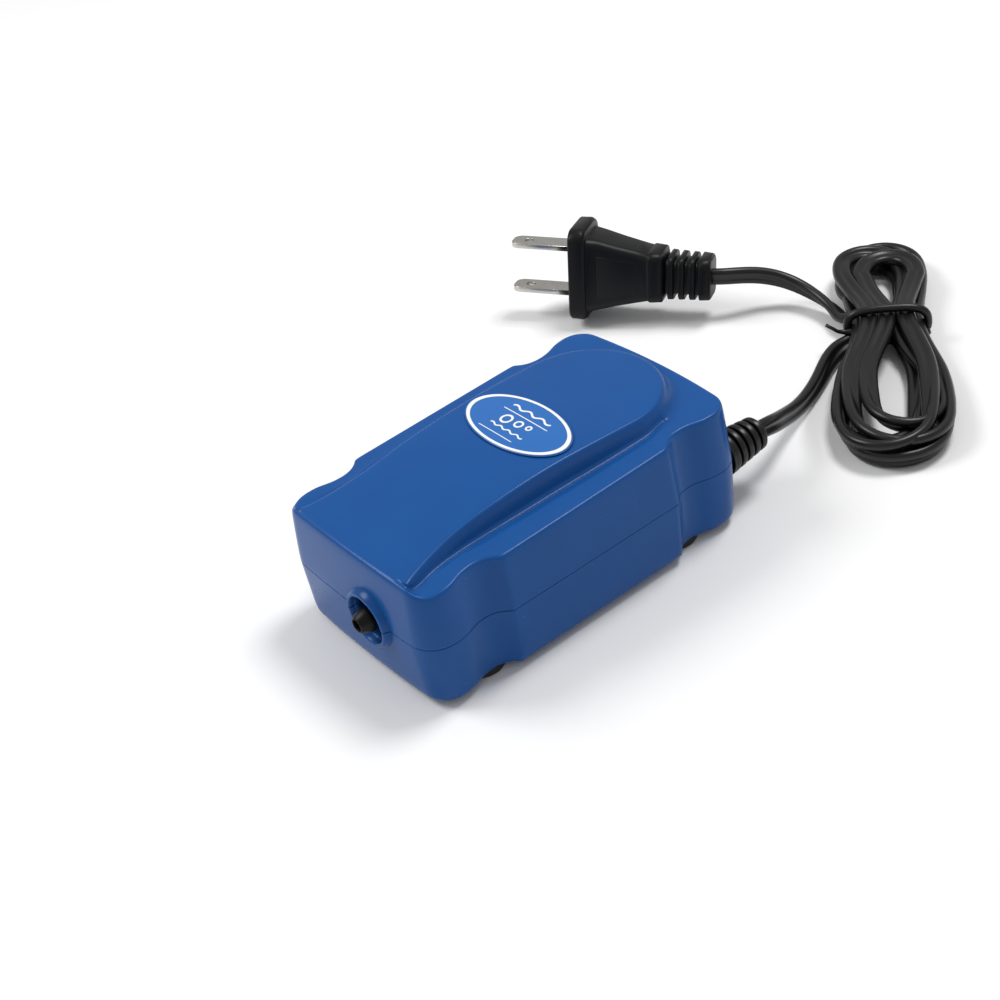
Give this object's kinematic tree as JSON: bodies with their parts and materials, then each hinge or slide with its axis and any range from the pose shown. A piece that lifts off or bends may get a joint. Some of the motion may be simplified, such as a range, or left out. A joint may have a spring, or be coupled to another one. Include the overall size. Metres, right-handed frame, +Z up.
{
  "type": "aquarium_air_pump",
  "caption": "Small mains-powered aquarium air pump: blue two-shell case, barbed air outlet, magnet-driven diaphragm inside, and a tied mains cord with a flat two-blade plug",
  "frame": {"origin": "on the standing surface, midway between the nozzle tip and the back of the case", "axes": "the air outlet faces -Y, the mains cord leaves towards +Y, +Z is up out of the lid, +X is to the right seen from the back"},
  "size_m": [0.1375, 0.2003, 0.0372],
  "materials": {
    "case": "moulded blue ABS, glossy with a faint moulding texture",
    "badge": "printed film label with a white rim",
    "rubber": "moulded black rubber, matt",
    "black_plastic": "black moulded plastic, satin",
    "cord_vinyl": "soft black vinyl, satin",
    "steel": "zinc-plated steel",
    "nickel": "nickel-plated brass, bright",
    "lamination": "stacked silicon-steel sheets, varnished",
    "copper": "enamelled copper wire",
    "pale_nylon": "natural nylon, satin",
    "felt": "pressed white felt",
    "ferrite": "sintered ferrite magnet, dull black"
  },
  "bodies": {
    "case": {"upper_shell": "case", "lower_shell": "case", "label_badge": "badge", "foot_1": "rubber", "foot_2": "rubber", "foot_3": "rubber", "foot_4": "rubber", "case_screw_1": "steel", "case_screw_2": "steel", "case_screw_3": "steel", "case_screw_4": "steel", "filter_cover": "case", "filter_felt": "felt", "core_laminations": "lamination", "coil_bobbin": "pale_nylon", "coil_winding": "copper", "core_bracket": "steel", "core_screw_1": "steel", "core_screw_2": "steel", "arm_pivot": "rubber", "diaphragm": "rubber", "valve_chamber": "pale_nylon", "intake_spigot": "rubber", "chamber_gasket": "rubber", "chamber_cover": "pale_nylon", "chamber_screw_1": "steel", "chamber_screw_2": "steel", "outlet_nozzle": "black_plastic", "strain_relief": "cord_vinyl", "lead_live": "black_plastic", "crimp_live": "nickel", "lead_neutral": "black_plastic", "crimp_neutral": "nickel", "cord_to_hank": "cord_vinyl", "cord_hank": "cord_vinyl", "cord_tie": "cord_vinyl", "cord_to_plug": "cord_vinyl", "plug_body": "black_plastic", "blade_1": "nickel", "blade_2": "nickel"},
    "arm": {"lever_arm": "steel", "arm_magnet": "ferrite", "diaphragm_washer": "steel", "arm_spacer": "pale_nylon", "diaphragm_bolt": "steel", "arm_nut": "steel"},
    "intake_valve": {"intake_flap": "rubber"},
    "outlet_valve": {"outlet_flap": "rubber"}
  },
  "joints": [
    {"name": "arm_swing", "type": "hinge", "parent": "case", "child": "arm", "pos_m": [0.011, -0.0265, 0.0168], "axis": [0, 0, 1], "range_deg": [-1.5, 1.5], "stiffness_Nm_per_rad": 0.5, "deforming": ["diaphragm"]},
    {"name": "intake_flap_lift", "type": "hinge", "parent": "case", "child": "intake_valve", "pos_m": [-0.0054, -0.009, 0.0196], "axis": [0, -1, 0], "range_deg": [0, 15], "stiffness_Nm_per_rad": 0.002},
    {"name": "outlet_flap_lift", "type": "hinge", "parent": "case", "child": "outlet_valve", "pos_m": [-0.0086, -0.016, 0.0196], "axis": [0, 1, 0], "range_deg": [0, 15], "stiffness_Nm_per_rad": 0.002}
  ]
}
